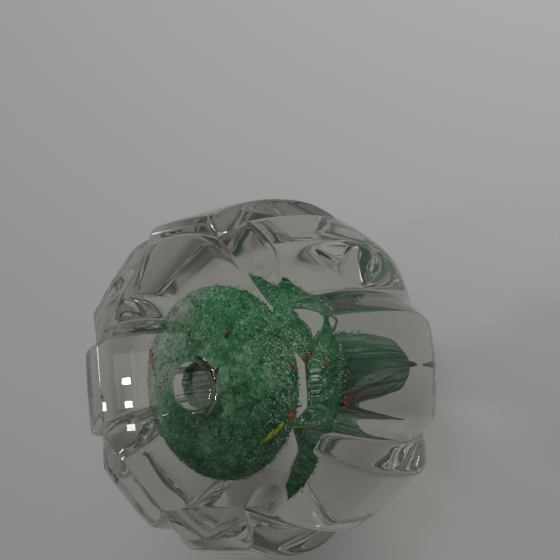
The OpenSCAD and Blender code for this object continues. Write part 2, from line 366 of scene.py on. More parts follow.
# %% [markdown]
# ## The lobed block
# The block is the clear outer gather. A mould or a tool pressed eight grooves into it while it was
# hot, and the grooves sweep a little round the body. Then the top was ground flat and a bevel was
# cut across each lobe. A sculpted or subdivided cage would blur the crisp bevels, so the mesh is
# computed: columns of points follow the lobes, and each column runs up the whole outline, from the
# foot over the wall, the bevel and the face, and down into the socket.

# %% Lobe sizes
LOBES = 8
groove_dir = np.array([-110, -60.5, -22, 16, 67, 108, 156, 204.0])
groove_sweep = np.array([13, 5, 8, 10, 10, 10, 10, 11.0])
face_corner_r = np.array([33.3, 34.3, 38, 37, 34.2, 34.2, 33.5, 33.5])
first_crest = np.array([8, 16, 7, 10, 8, 9, 9, 9.0])
second_crest = np.array([10, 5.5, 4, 6.5, 4, 9, 9, 8.0])
first_swell = np.array([0.5, 0.3, 0.8, -1, -0.5, 1, 0, -1.0])
second_swell = np.array([0.5, -0.4, -2.5, -1, 0, 0, 0, 2.5])
first_rim = np.array([-1.2, -0.6, 2.8, -0.4, 1.2, 1, 0, -1.2])
second_rim = np.array([0.6, 3.2, 1.4, 1, 1.2, 0, 0, -1.8])
BACK_FLAT = 0.8
bevel_cut = np.array([[0.1, 0.1, 0.9], [1, 1, 1], [0.3, 0.3, 0.3], [1, 1, 1],
                      [1, 1, 1], [1, 1, 1], [1, 1, 1], [0.3, 0.1, 0.1]])
belly_r, rim_r, foot_r = 47.0, 40.0, 28.0
belly_level = 0.6
LOWER_FULLNESS = 2.26
groove_depth, foot_groove_depth = 5.5, 1.5
foot_round, FOOT_RISE = 6.0, math.radians(38)
bevel_angle, bevel_min = 30.0, 0.6
socket_depth, socket_tip, mouth_chamfer = 38.0, 12.0, 0.7
COLUMNS_PER_LOBE, FLANK_COLUMNS = 56, 13
COLUMN_EASE = 0.6
BACK_BULGE, FLANK_LIFT = 0.2, 1.04
GROOVE_SOFT, CREST_BLEND = 0.07, 1.1
SOCKET_FLOOR_Z = body_h - socket_depth


def groove_at(i, share):
    """Direction of groove i in degrees, at that share of the height."""
    return groove_dir[i % LOBES] + 360 * (i // LOBES) - groove_sweep[i % LOBES] * (1 - share)


def outline_r(share, belly, rim, foot):
    """Radius at a share of the height, of an outline with the given belly, rim and foot."""
    up = np.clip((share - belly_level) / (1 - belly_level), 0, 1)
    down = np.clip((belly_level - share) / belly_level, 0, 1)
    return belly + (rim - belly) * up**2 + (foot - belly) * down**LOWER_FULLNESS


def groove_env(i, share):
    """Radius at the bottom of groove i."""
    swell = (first_swell[i % LOBES] + second_swell[(i - 1) % LOBES]) / 2
    return outline_r(share, belly_r - groove_depth + swell, face_corner_r[i % LOBES] + bevel_min,
                     foot_r - foot_groove_depth)


def crest_shares(i):
    """Where the two crests lie across lobe i, and half the angle between them."""
    width = groove_at(i + 1, 1) - groove_at(i, 1)
    a, b = first_crest[i] / width, 1 - second_crest[i] / width
    return a, b, math.radians(width * (b - a) / 2)


def back_r(i, across, share):
    """Radius of the flattened back of lobe i."""
    a, b, half = crest_shares(i)
    k = np.clip((across - a) / (b - a), 0, 1)
    swell = first_swell[i] + (second_swell[i] - first_swell[i]) * k
    rim = rim_r + first_rim[i] + (second_rim[i] - first_rim[i]) * k
    flat = 1 + BACK_FLAT * (math.cos(half) / np.cos(half * (2 * k - 1)) - 1)
    return outline_r(share, belly_r + swell, rim, foot_r + swell) * flat


def soft_min(a, b, width):
    """The smaller of two values, blended where they cross."""
    mixed = np.maximum(width - np.abs(a - b), 0) / width
    return np.minimum(a, b) - mixed**2 * width / 4


def wall_r(i, across, share):
    """Radius of the wall of lobe i, across from 0 to 1 between its grooves."""
    a, b, _ = crest_shares(i)
    crest = back_r(i, across, share)
    middle = (a + b) / 2
    back = crest + BACK_BULGE * (1 - np.minimum(((across - middle) / (b - a) * 2) ** 2, 2))
    low, high = groove_env(i, share), groove_env(i + 1, share)
    near = np.sqrt((across / a) ** 2 + GROOVE_SOFT**2) - GROOVE_SOFT
    far = np.sqrt(((1 - across) / (1 - b)) ** 2 + GROOVE_SOFT**2) - GROOVE_SOFT
    first = low + (crest - low) * near * FLANK_LIFT
    second = high + (crest - high) * far * FLANK_LIFT
    return soft_min(soft_min(first, back, CREST_BLEND), second, CREST_BLEND)


def wall_dir(i, across, share):
    """Direction of the wall in radians, across from 0 to 1 between its grooves."""
    low, high = groove_at(i, share), groove_at(i + 1, share)
    return np.radians(low + (high - low) * across)


def lobe_shares(i):
    """Shares across lobe i, closer together at its grooves and crests."""
    a, b, _ = crest_shares(i)
    back_columns = COLUMNS_PER_LOBE - 2 * FLANK_COLUMNS
    parts = []
    for start, end, count in ((0, a, FLANK_COLUMNS), (a, b, back_columns), (b, 1, FLANK_COLUMNS)):
        step = np.arange(count) / count
        eased = COLUMN_EASE * (1 - np.cos(np.pi * step)) / 2 + (1 - COLUMN_EASE) * step
        parts.append(start + (end - start) * eased)
    return np.concatenate(parts)


# %% [markdown]
# Each column's outline is a list of stops: the foot, its rounded edge, the wall, a tiny rounded
# edge, the bevel, a second rounded edge, the face, the chamfered mouth, the socket's wall and its
# pointed floor. Real ground edges are never knife-sharp, and the narrow rounds catch the thin
# highlights that make cut glass read as glass. Slow noise moves the pressed walls in and out by a
# fraction of a millimetre, while the ground faces stay flat.


# %% Ring helpers
def ring(radius, direction, height):
    """One ring of points, a point for each column."""
    height = np.broadcast_to(height, radius.shape)
    return np.stack([radius * np.cos(direction), radius * np.sin(direction), height], axis=-1)


MOST_OF_RUN, ROUND_REACH, ROUND_CUT = 0.22, 2.2, 0.27


def corner_soften(before, corner, after, size):
    """Five rings that round the corner between two straight runs."""
    back = before - corner
    on = after - corner
    back_len = np.linalg.norm(back, axis=-1, keepdims=True)
    on_len = np.linalg.norm(on, axis=-1, keepdims=True)
    step = np.minimum(size, MOST_OF_RUN * np.minimum(back_len, on_len))
    back, on = back / back_len, on / on_len
    return [corner + back * step * ROUND_REACH, corner + back * step,
            corner + (back + on) * step * ROUND_CUT,
            corner + on * step, corner + on * step * ROUND_REACH]


lobe_of = np.repeat(np.arange(LOBES), COLUMNS_PER_LOBE)
across = np.concatenate([lobe_shares(i) for i in range(LOBES)])
column_count = len(lobe_of)


def per_lobe(function, share):
    """Evaluates a wall function over all columns, lobe by lobe."""
    share = np.broadcast_to(share, across.shape)
    return np.concatenate([function(i, across[lobe_of == i], share[lobe_of == i])
                           for i in range(LOBES)])


# %% Rim and bevel
LEAST_BEVEL = 0.1
rim = ring(per_lobe(wall_r, 1.0), per_lobe(wall_dir, 1.0), 0.0)
corner_dir = np.radians([groove_at(i, 1) for i in range(LOBES + 1)])
corner_rad = np.append(face_corner_r, face_corner_r[0])
corners = np.stack([corner_rad * np.cos(corner_dir), corner_rad * np.sin(corner_dir)], axis=-1)
edge_run = corners[1:] - corners[:-1]
edge_out = np.stack([edge_run[:, 1], -edge_run[:, 0]], axis=-1)
edge_out /= np.linalg.norm(edge_out, axis=-1, keepdims=True)
bevel = np.concatenate([np.interp(across[lobe_of == i], [a, (a + b) / 2, b], bevel_cut[i])
                        for i, (a, b, _) in enumerate(map(crest_shares, range(LOBES)))])
chord = corners[:-1][lobe_of] + edge_run[lobe_of] * across[:, None]
edge = rim[:, :2] + (chord - rim[:, :2]) * bevel[:, None]
past_edge = ((rim[:, :2] - edge) * edge_out[lobe_of]).sum(axis=-1)
rim_z = body_h - math.tan(math.radians(bevel_angle)) * np.maximum(past_edge, LEAST_BEVEL)
face_edge = np.concatenate([edge, np.full((column_count, 1), body_h)], axis=1)
rim[:, 2] = rim_z
print("bevel drops up to", round(float(body_h - rim_z.min()), 1), "mm")

# %% Foot and wall rings
FOOT_STEPS, WALL_STEPS = 8, 72
FOOT_SHARES = (0.06, 0.35, 0.7, 0.9, 0.97)
column_dir = per_lobe(wall_dir, 1.0)
foot_dir = per_lobe(wall_dir, 0.0)
rings = []
foot_top = foot_round * (1 - math.cos(FOOT_RISE))
foot_wall = per_lobe(wall_r, foot_top / body_h)
foot_flat = foot_wall - foot_round * math.sin(FOOT_RISE)
for share in FOOT_SHARES:
    rings.append(ring(foot_flat * share, foot_dir, 0.0))
for k in range(FOOT_STEPS + 1):
    angle = FOOT_RISE * k / FOOT_STEPS
    height = foot_round * (1 - math.cos(angle))
    rings.append(ring(foot_flat + foot_round * math.sin(angle),
                      per_lobe(wall_dir, height / body_h), height))
wall_start = len(rings)
for k in range(1, WALL_STEPS):
    height = foot_top + (rim_z - foot_top) * k / WALL_STEPS
    share = height / body_h
    rings.append(ring(per_lobe(wall_r, share), per_lobe(wall_dir, share), height))
wall_end = len(rings)
print("foot and wall rings", wall_end)

# %% Bevel, face and socket rings
EDGE_ROUND = 0.3
FACE_SHARES = (0.12, 0.3, 0.5, 0.7, 0.88, 1.0)
TIP_SHARES = (0.04, 0.1, 0.22, 0.36, 0.5, 0.64, 0.78, 0.9, 0.97, 1.0)
TIP_R, TIP_CURVE = 0.8, 0.92
MOUTH_MARGIN = 0.25
rings += corner_soften(rings[-1], rim, face_edge, EDGE_ROUND)
inner = ring(np.full(column_count, socket_r + mouth_chamfer + MOUTH_MARGIN), column_dir, body_h)
rings += corner_soften(rim, face_edge, inner, EDGE_ROUND)
outer_face = rings[-1]
for share in FACE_SHARES:
    rings.append(outer_face + (inner - outer_face) * share)
mouth_stops = [(socket_r + mouth_chamfer, body_h - 0.04),
               (socket_r + 0.5 * mouth_chamfer, body_h - 0.5 * mouth_chamfer),
               (socket_r + 0.06, body_h - mouth_chamfer + 0.02),
               (socket_r, body_h - mouth_chamfer - 0.15)]
for radius, height in mouth_stops:
    rings.append(ring(np.full(column_count, radius), column_dir, height))
for height in np.linspace(body_h - 1.6, SOCKET_FLOOR_Z + 0.8, 14):
    rings.append(ring(np.full(column_count, socket_r), column_dir, height))
for share in TIP_SHARES:
    radius = TIP_R + (socket_r - TIP_R) * (1 - share) ** TIP_CURVE
    rings.append(ring(np.full(column_count, radius), column_dir,
                      SOCKET_FLOOR_Z - socket_tip * share))
stack = np.array(rings)
print("casing rings", len(rings), "columns", column_count)

# %% Hand-made waviness
WAVE_MM, WAVE_LENGTH_MM = 0.12, 17.0
FINE_WAVE, FINE_WAVE_RATE = 0.2, 2.7
WAVE_MIDDLE = 0.35
for k in range(wall_start - FOOT_STEPS, wall_end):
    fade = min(1.0, (k - wall_start + FOOT_STEPS) / 12) * min(1.0, (wall_end - k) / 6)
    for j in range(column_count):
        p = stack[k, j]
        spot = Vector(p / WAVE_LENGTH_MM)
        push = noise.noise(spot) + FINE_WAVE * noise.noise(spot * FINE_WAVE_RATE)
        outward = p[:2] / np.linalg.norm(p[:2])
        stack[k, j, :2] += outward * (push - WAVE_MIDDLE) * WAVE_MM * fade
points, faces = closed_rings(stack, (0, 0, 0), (0, 0, SOCKET_FLOOR_Z - socket_tip))
casing = mesh_piece("casing_glass", points, faces, clear_glass)
settle(casing, "clear_glass", "casing")

# %% [markdown]
# ## The core
# The core is a cap of clear glass rolled in green crumbs, with a neck under it. When the socket was
# pushed in, the crumb layer rose as a thin collar round it and was dragged down like a funnel. One
# outline therefore runs from the tail up the neck, over the dome and the collar and down the funnel
# to its tip, and is turned round the axis. The funnel's points are marked, so that the material
# can draw them out into streaks.

# %% Core outline
core_level = 42.5
dome_rise = 13.5
sleeve = 1.2
funnel_r = socket_r + sleeve
neck_r, CAP_REACH = funnel_r + 1, 0.3
FUNNEL_TIP_WALL, LIP_WIDTH = 2.4, 2.6
funnel_tip_z = SOCKET_FLOOR_Z - socket_tip - FUNNEL_TIP_WALL
lip_r = funnel_r + LIP_WIDTH
COLLAR_DEPTH = 4.2
SIDE_STEPS, DOME_STEPS, COLLAR_STEPS, TUBE_STEPS, TIP_STEPS = 60, 26, 12, 13, 22


def pear_r(q):
    """Radius under the cap: q is 0 at the widest place and 1 at the tail."""
    cap = (core_r - neck_r) * math.exp(-(q / CAP_REACH) ** 2)
    return cap + neck_r * math.sqrt(max(0.0, 1 - q**8))


def pear_z(q):
    return core_level + (tail_z - core_level) * q


def dome_z(radius):
    return core_level + dome_rise * math.sqrt(max(0.0, 1 - (radius / core_r) ** 2))


def core_outline():
    """Points (radius, height) from the tail to the tip of the funnel, in millimetres."""
    line = [(pear_r(1 - k / SIDE_STEPS), pear_z(1 - k / SIDE_STEPS)) for k in range(1, SIDE_STEPS + 1)]
    end = math.acos(lip_r / core_r)
    for k in range(1, DOME_STEPS + 1):
        radius = core_r * math.cos(end * k / DOME_STEPS)
        line.append((radius, dome_z(radius)))
    top = dome_z(lip_r)
    rise = body_h - COLLAR_DEPTH - top
    for k in range(1, COLLAR_STEPS + 1):
        angle = math.pi / 2 * k / COLLAR_STEPS
        line.append((lip_r - (lip_r - funnel_r) * math.sin(angle), top + rise * (1 - math.cos(angle))))
    for height in np.linspace(line[-1][1], SOCKET_FLOOR_Z, TUBE_STEPS + 1)[1:]:
        line.append((funnel_r, height))
    for k in range(1, TIP_STEPS):
        share = k / TIP_STEPS
        line.append((funnel_r * (1 - share**1.35) ** 0.9,
                     SOCKET_FLOOR_Z + (funnel_tip_z - SOCKET_FLOOR_Z) * share))
    return line


outline = core_outline()
SHELL_RINGS = SIDE_STEPS + DOME_STEPS
FUNNEL_FROM = SHELL_RINGS + COLLAR_STEPS // 2
print("core outline points", len(outline))

# %% [markdown]
# ## Green frit
# The layer reads as a sponge of half-melted crumbs: deep green, with cloudy mint between and pale
# specks. Its cover is uneven, so the alpha comes from clouds, and it thins out on one side. The
# neck and the funnel round the socket are drawn into streaks, and the funnel's tip is dark. Inside
# glass nothing shines, so the specular level is low.


# %% Frit materials
def frit_glass(name, cells, pale_share, dark, middle, light, pale):
    """Opaque crumb glass: mottle for the colour and bump. Gives back material, tree, shader."""
    material, tree = new_material(name)
    mottle = use_group(tree, crumb_mottle, Cells_per_metre=cells, Pale_share=pale_share, Dark=dark,
                       Middle=middle, Light=light, Pale=pale)
    shader = put(tree, "ShaderNodeBsdfPrincipled", {"Roughness": 0.62, "IOR": 1.45,
                                                    "Specular IOR Level": 0.12})
    join(tree, mottle["Colour"], shader.inputs["Base Color"])
    bump = put(tree, "ShaderNodeBump", {"Strength": 0.8, "Distance": 0.0005})
    join(tree, mottle["Height"], bump.inputs["Height"])
    join(tree, bump.outputs[0], shader.inputs["Normal"])
    finish_material(tree, shader.outputs[0])
    return material, tree, shader


# %% Green frit cover
SHELL_LEAST, SHELL_CRUMBS, SHELL_DRIFTS, SHELL_THINNED = 0.42, 0.4, 0.3, 0.68
NECK_MOST, NECK_STREAKS = 0.95, 0.5
FUNNEL_MOST, FUNNEL_STREAKS, TIP_COVER = 0.8, 0.35, 0.92
green_frit, tree, shader = frit_glass(
    "green_frit", 620.0, 0.3, (0.016, 0.1, 0.04, 1), (0.05, 0.22, 0.1, 1), (0.22, 0.4, 0.27, 1),
    (0.5, 0.64, 0.53, 1))
away, x, y, z = axis_distance(tree)
cover = use_group(tree, soft_cloud, Cells_per_metre=420.0, Low=0.36, High=0.52)["Mask"]
gaps = use_group(tree, soft_cloud, Cells_per_metre=75.0, Low=0.36, High=0.5)["Mask"]
streaks = use_group(tree, drawn_streaks, Round=9.0, Along=45.0, Low=0.36, High=0.62)["Mask"]
in_funnel = put(tree, "ShaderNodeAttribute", attribute_name="funnel").outputs["Fac"]
at_tip = sums(tree, "MULTIPLY", in_funnel, remap(tree, z, 0.017, 0.027, 1.0, 0.0))
THIN_X, THIN_Y = 0.5, 0.87
thin_way = sums(tree, "ADD", sums(tree, "MULTIPLY", x, THIN_X), sums(tree, "MULTIPLY", y, THIN_Y))
thin_side = remap(tree, thin_way, 0.006, 0.02)
neck = remap(tree, z, 0.022, 0.033, 1.0, 0.0)
shell_cover = sums(tree, "ADD", SHELL_LEAST, sums(tree, "MULTIPLY", cover, SHELL_CRUMBS))
shell_cover = sums(tree, "ADD", shell_cover, sums(tree, "MULTIPLY", gaps, SHELL_DRIFTS), clamp=True)
shell_cover = sums(tree, "SUBTRACT", shell_cover, sums(tree, "MULTIPLY", thin_side, SHELL_THINNED),
                   clamp=True)
neck_cover = sums(tree, "SUBTRACT", NECK_MOST, sums(tree, "MULTIPLY", streaks, NECK_STREAKS))
funnel_cover = sums(tree, "SUBTRACT", FUNNEL_MOST, sums(tree, "MULTIPLY", streaks, FUNNEL_STREAKS))


def swap(start, mask, end):
    """Goes from one value to another by a mask."""
    change = sums(tree, "MULTIPLY", mask, sums(tree, "SUBTRACT", end, start))
    return sums(tree, "ADD", start, change, clamp=True)


alpha = swap(shell_cover, neck, neck_cover)
alpha = swap(alpha, in_funnel, funnel_cover)
alpha = swap(alpha, at_tip, TIP_COVER)
join(tree, alpha, shader.inputs["Alpha"])

# %% Green frit colour
neck_colour = blend(tree, streaks, (0.006, 0.07, 0.025, 1), (0.1, 0.26, 0.15, 1))
funnel_colour = blend(tree, streaks, (0.2, 0.32, 0.24, 1), (0.5, 0.6, 0.54, 1))
colour = shader.inputs["Base Color"].links[0].from_socket
colour = blend(tree, sums(tree, "MULTIPLY", neck, 0.8), colour, neck_colour)
colour = blend(tree, sums(tree, "MULTIPLY", in_funnel, 0.85), colour, funnel_colour)
colour = blend(tree, at_tip, colour, (0.008, 0.07, 0.03, 1))
join(tree, colour, shader.inputs["Base Color"])
print("green frit nodes", len(tree.nodes))

# %% Frit skin mesh
CORE_COLUMNS = 200
turns = np.arange(CORE_COLUMNS) / CORE_COLUMNS * 2 * math.pi
skin_rings = []
for radius, height in outline:
    level = []
    for turn in turns:
        spot = Vector((radius * math.cos(turn), radius * math.sin(turn), height))
        lump = noise.noise(spot * 0.45) * 0.4 + noise.noise(spot * 1.3) * 0.22
        shrink = 1 + (lump - 0.25) * 0.9 / max(radius, 3.0)
        level.append((spot.x * shrink, spot.y * shrink, height + lump * 0.3))
    skin_rings.append(level)
points, faces = closed_rings(np.array(skin_rings), (0, 0, tail_z), (0, 0, funnel_tip_z))
frit = mesh_piece("frit_skin_melted", points, faces, green_frit)
mark = frit.data.attributes.new("funnel", "FLOAT", "POINT")
FUNNEL_FADE_RINGS = 8
mark.data.foreach_set("value", [
    min(1.0, max(0.0, (k // CORE_COLUMNS - FUNNEL_FROM) / FUNNEL_FADE_RINGS))
    for k in range(len(points))])
settle(frit, "green_frit", "frit_skin")

# %% [markdown]
# ## Crumbs, chips and grains
# Broken glass has flat faces and sharp corners that the heat then rounds a little. A few shards are
# made once as convex hulls of random points with a small bevel, and scattered with turns and
# stretches of their own. Merging the copies with arrays is fast even for thousands.


# %% Shard maker
def shard_templates(count, corners, seed, round_off=0.12):
    """A few broken-glass shapes of about unit size, as arrays of points and lists of faces."""
    chance = random.Random(seed)
    made = []
    for _ in range(count):
        shape = bmesh.new()
        for _ in range(corners):
            way = Vector((chance.gauss(0, 1), chance.gauss(0, 1), chance.gauss(0, 1))).normalized()
            shape.verts.new(way * chance.uniform(0.75, 1.0))
        hull = bmesh.ops.convex_hull(shape, input=shape.verts[:])
        bmesh.ops.delete(shape, geom=hull["geom_interior"], context="VERTS")
        if round_off:
            bmesh.ops.bevel(shape, geom=shape.edges[:] + shape.verts[:], offset=round_off, segments=1,
                            affect="EDGES", profile=0.5)
        bmesh.ops.recalc_face_normals(shape, faces=shape.faces[:])
        shape.verts.index_update()
        made.append((np.array([v.co[:] for v in shape.verts]),
                     [[v.index for v in f.verts] for f in shape.faces]))
        shape.free()
    return made


def scatter(name, templates, spots, sizes, material, seed, stretch=(0.6, 1.3), smooth=False):
    """One mesh of many shards, each with a turn and a stretch of its own."""
    chance = random.Random(seed)
    points, faces, start = [], [], 0
    for spot, size in zip(spots, sizes):
        shape, shape_faces = templates[chance.randrange(len(templates))]
        scale = np.array([chance.uniform(*stretch) for _ in range(3)]) * size
        turn = Matrix.Rotation(chance.uniform(0, 6.283), 3, Vector(
            (chance.gauss(0, 1), chance.gauss(0, 1), chance.gauss(0, 1))).normalized())
        points.append((shape * scale) @ np.array(turn).T + np.array(spot))
        faces += [[start + v for v in f] for f in shape_faces]
        start += len(shape)
    return mesh_piece(name, np.vstack(points), faces, material, smooth)


def lifted(direction, spot, ahead, lift):
    """A point off the outline at spot, lifted square to the way ahead. Direction in degrees."""
    run = math.hypot(ahead[0] - spot[0], ahead[1] - spot[1])
    radius = spot[0] - lift * (ahead[1] - spot[1]) / run
    height = spot[1] + lift * (ahead[0] - spot[0]) / run
    angle = math.radians(direction)
    return (radius * math.cos(angle), radius * math.sin(angle), height)


def on_pear(direction, q, lift):
    """Under the cap: q is 0 at the widest place and 1 at the tail."""
    return lifted(direction, (pear_r(q), pear_z(q)), (pear_r(q + 0.01), pear_z(q + 0.01)), lift)


def on_dome(direction, radius, lift):
    """Over the dome, at that radius."""
    return lifted(direction, (radius, dome_z(radius)), (radius + 0.01, dome_z(radius + 0.01)), lift)


fine_shards = shard_templates(10, 7, seed=3, round_off=0)
coarse_shards = shard_templates(10, 11, seed=5)
print("shard faces", [len(f) for _, f in coarse_shards])

# %% [markdown]
# The fine crumbs lie all over the dome and under the cap, and thin out down the neck. They sit a
# little in or out of the melted layer. The coarse dark ones are fewer, and the pale grains gather
# on the shoulder that faces the front.

# %% Fine crumbs
crumb_glass, tree, shader = frit_glass(
    "crumb_glass", 420.0, 0.2, (0.016, 0.12, 0.05, 1), (0.06, 0.29, 0.13, 1), (0.2, 0.44, 0.27, 1),
    (0.55, 0.7, 0.57, 1))
FINE_CRUMBS = 5200
chance = random.Random(11)
spots, sizes = [], []
for _ in range(FINE_CRUMBS):
    direction = chance.uniform(0, 360)
    if chance.random() < 0.58:
        radius = math.sqrt(chance.uniform((lip_r - 2.5) ** 2, (core_r - 0.2) ** 2))
        spots.append(on_dome(direction, radius, chance.gauss(0.0, 0.22)))
    else:
        spots.append(on_pear(direction, chance.uniform(0, 1) ** 2 * 0.8, chance.gauss(0.0, 0.22)))
    sizes.append(chance.uniform(0.12, 0.34))
crumbs = scatter("frit_fine_crumbs", fine_shards, spots, sizes, crumb_glass, seed=12)
settle(crumbs, "green_frit")

# %% Coarse dark crumbs
dark_green_glass, tree, shader = frit_glass(
    "dark_green_glass", 700.0, 0.0, (0.004, 0.04, 0.016, 1), (0.012, 0.1, 0.045, 1),
    (0.03, 0.15, 0.07, 1), (0.2, 0.4, 0.26, 1))
COARSE_CRUMBS = 260
chance = random.Random(21)
spots, sizes = [], []
for _ in range(COARSE_CRUMBS):
    direction = chance.uniform(0, 360)
    if chance.random() < 0.5:
        radius = math.sqrt(chance.uniform((lip_r - 1) ** 2, (core_r - 0.2) ** 2))
        spots.append(on_dome(direction, radius, chance.uniform(-0.3, 0.15)))
    else:
        spots.append(on_pear(direction, chance.uniform(0, 0.6), chance.uniform(-0.3, 0.15)))
    sizes.append(chance.uniform(0.28, 0.6))
dark_crumbs = scatter("dark_green_crumbs_coarse", coarse_shards, spots, sizes, dark_green_glass, seed=22)
settle(dark_crumbs, "dark_green_glass", "dark_green_crumbs")

# %% Pale grains
pale_glass, tree, shader = frit_glass(
    "pale_glass", 900.0, 0.4, (0.34, 0.5, 0.4, 1), (0.6, 0.74, 0.62, 1), (0.75, 0.83, 0.73, 1),
    (0.9, 0.93, 0.88, 1))
PALE_GRAINS = 760
GRAINS_AT, GRAINS_SPREAD = -92, 26
chance = random.Random(31)
spots, sizes = [], []
for _ in range(PALE_GRAINS):
    direction = chance.gauss(GRAINS_AT, GRAINS_SPREAD)
    radius = core_r - 0.25 - abs(chance.gauss(0, 2.2))
    if chance.random() < 0.85:
        spots.append(on_dome(direction, max(radius, lip_r), chance.uniform(0.25, 1.0)))
    else:
        spots.append(on_pear(direction, abs(chance.gauss(0, 0.1)), chance.uniform(0.2, 0.9)))
    sizes.append(chance.uniform(0.1, 0.3))
pale_grains = scatter("pale_grains_scattered", fine_shards, spots, sizes, pale_glass, seed=32)
settle(pale_grains, "pale_glass", "pale_grains")

# %% [markdown]
# ## Core streaks
# The clear inner gather can't be seen by itself, because it has the casing's own index. What shows
# is its faint pale streaks, drawn out along the socket. They are a thin veil inside the crumb
# layer whose alpha follows the streak group.

# %% Core veil
core_glass, tree = new_material("core_glass")
veil = use_group(tree, drawn_streaks, Round=5.0, Along=30.0, Low=0.5, High=0.68)["Mask"]
wisps = use_group(tree, soft_cloud, Cells_per_metre=120.0, Low=0.42, High=0.66)["Mask"]
shader = put(tree, "ShaderNodeBsdfPrincipled", {"Roughness": 0.5, "Specular IOR Level": 0.1})
join(tree, blend(tree, wisps, (0.3, 0.46, 0.36, 1), (0.74, 0.84, 0.76, 1)), shader.inputs["Base Color"])
join(tree, sums(tree, "MULTIPLY", sums(tree, "MULTIPLY", veil, wisps), 0.5), shader.inputs["Alpha"])
finish_material(tree, shader.outputs[0])
VEIL_INSET, VEIL_LIFT, VEIL_FROM = 1.6, 0.3, 8
CROWN_SHARES, CROWN_DIP, CROWN_END = (0.8, 0.6, 0.45), 14, 3
veil_rings = [[((radius - VEIL_INSET) * math.cos(turn), (radius - VEIL_INSET) * math.sin(turn),
                height + VEIL_LIFT) for turn in turns[::2]]
              for radius, height in outline[VEIL_FROM:SHELL_RINGS:2]]
top = veil_rings[-1]
for share in CROWN_SHARES:
    veil_rings.append([(x * share, y * share, z - CROWN_DIP * (1 - share)) for x, y, z in top])
stack = np.array(veil_rings)
points, faces = closed_rings(stack, (0, 0, stack[0, 0, 2]), (0, 0, stack[-1, 0, 2] - CROWN_END))
core_veil = mesh_piece("core_gather_veil", points, faces, core_glass)
settle(core_veil, "core_glass", "core_gather")

# %% [markdown]
# ## Coloured bits
# Stray bits of coloured glass were picked up with the crumbs: a dark streak by the socket, brown
# splinters, red chips, a bit of yellow cane, a rust ribbon and a bead at the tail. Slivers are
# rings along a path with a ragged radius, and chips use the shard maker.


# %% Coloured glass
def bit_glass(name, colour, second, cells=700.0):
    """Opaque coloured glass, clouded with a second shade."""
    material, tree = new_material(name)
    mask = use_group(tree, soft_cloud, Cells_per_metre=cells, Low=0.4, High=0.62)["Mask"]
    shader = put(tree, "ShaderNodeBsdfPrincipled", {"Roughness": 0.45, "Specular IOR Level": 0.2})
    join(tree, blend(tree, mask, colour, second), shader.inputs["Base Color"])
    bump = put(tree, "ShaderNodeBump", {"Strength": 0.4, "Distance": 0.0002})
    join(tree, mask, bump.inputs["Height"])
    join(tree, bump.outputs[0], shader.inputs["Normal"])
    finish_material(tree, shader.outputs[0])
    return material


def sliver(name, path, radii, material, seed, sides=12, finer=6):
    """A drawn-out sliver along a path, with ragged rings."""
    chance = random.Random(seed)
    path, radii = np.array(path, float), np.array(radii, float)
    steps = np.linspace(0, len(path) - 1, (len(path) - 1) * finer + 1)
    known = np.arange(len(path))
    line = np.stack([np.interp(steps, known, path[:, c]) for c in range(3)], axis=-1)
    thick = np.interp(steps, known, radii)
    rings = []
    for k, centre in enumerate(line):
        along = line[min(k + 1, len(line) - 1)] - line[max(k - 1, 0)]
        along = along / np.linalg.norm(along)
        across_way = np.cross(along, (0.31, 0.27, 0.91))
        across_way /= np.linalg.norm(across_way)
        up_way = np.cross(along, across_way)
        ragged = [thick[k] * chance.uniform(0.78, 1.22) for _ in range(sides)]
        rings.append([centre + r * (math.cos(math.tau * j / sides) * across_way
                                    + math.sin(math.tau * j / sides) * up_way)
                      for j, r in enumerate(ragged)])
    points, faces = closed_rings(np.array(rings), line[0], line[-1])
    return mesh_piece(name, points, faces, material)


def joined(name, parts):
    """Joins mesh pieces into the first one."""
    shape = bmesh.new()
    for part in parts:
        shape.from_mesh(part.data)
    shape.to_mesh(parts[0].data)
    shape.free()
    for part in parts[1:]:
        bpy.data.objects.remove(part)
    parts[0].name = name
    return parts[0]


def around(radius, direction, height):
    """A point that far from the axis, in a direction in degrees."""
    angle = math.radians(direction)
    return (radius * math.cos(angle), radius * math.sin(angle), height)


# %% Dark streak
dark_glass = bit_glass("dark_glass", (0.012, 0.011, 0.008, 1), (0.06, 0.045, 0.025, 1))
path = [around(7.5 + 0.2 * math.sin(math.radians(100 * k)), -16 - 12 * k, body_h - 1.1 - 0.3 * k)
        for k in range(7)]
main = sliver("streak", path, [0.26, 0.5, 0.34, 0.66, 0.8, 0.7, 0.4], dark_glass, seed=41)
path = [around(7.7 + 0.75 * k, -72 + 3 * k, body_h - 2.6 - 0.5 * k) for k in range(4)]
spur = sliver("spur", path, [0.6, 0.45, 0.3, 0.14], dark_glass, seed=42)
settle(joined("dark_streak_drawn", [main, spur]), "dark_glass", "dark_streak")

# %% Brown splinters
brown_glass = bit_glass("brown_glass", (0.1, 0.028, 0.012, 1), (0.26, 0.1, 0.04, 1))
parts = [sliver("upright", [on_dome(62 + 2.8 * k, 21.6 - 0.9 * k, 1.1) for k in range(5)],
                [0.16, 0.5, 0.62, 0.45, 0.14], brown_glass, seed=43),
         sliver("lens", [on_pear(-92, 0.11 + 0.045 * k, 1.1) for k in range(5)],
                [0.12, 0.42, 0.5, 0.4, 0.12], brown_glass, seed=44),
         scatter("flecks", coarse_shards, [on_dome(-37, 15.2, 1.1), on_dome(12, 13.8, 0.9)],
                 [1.3, 0.7], brown_glass, seed=45)]
settle(joined("brown_splinters_drawn", parts), "brown_glass", "brown_splinters")

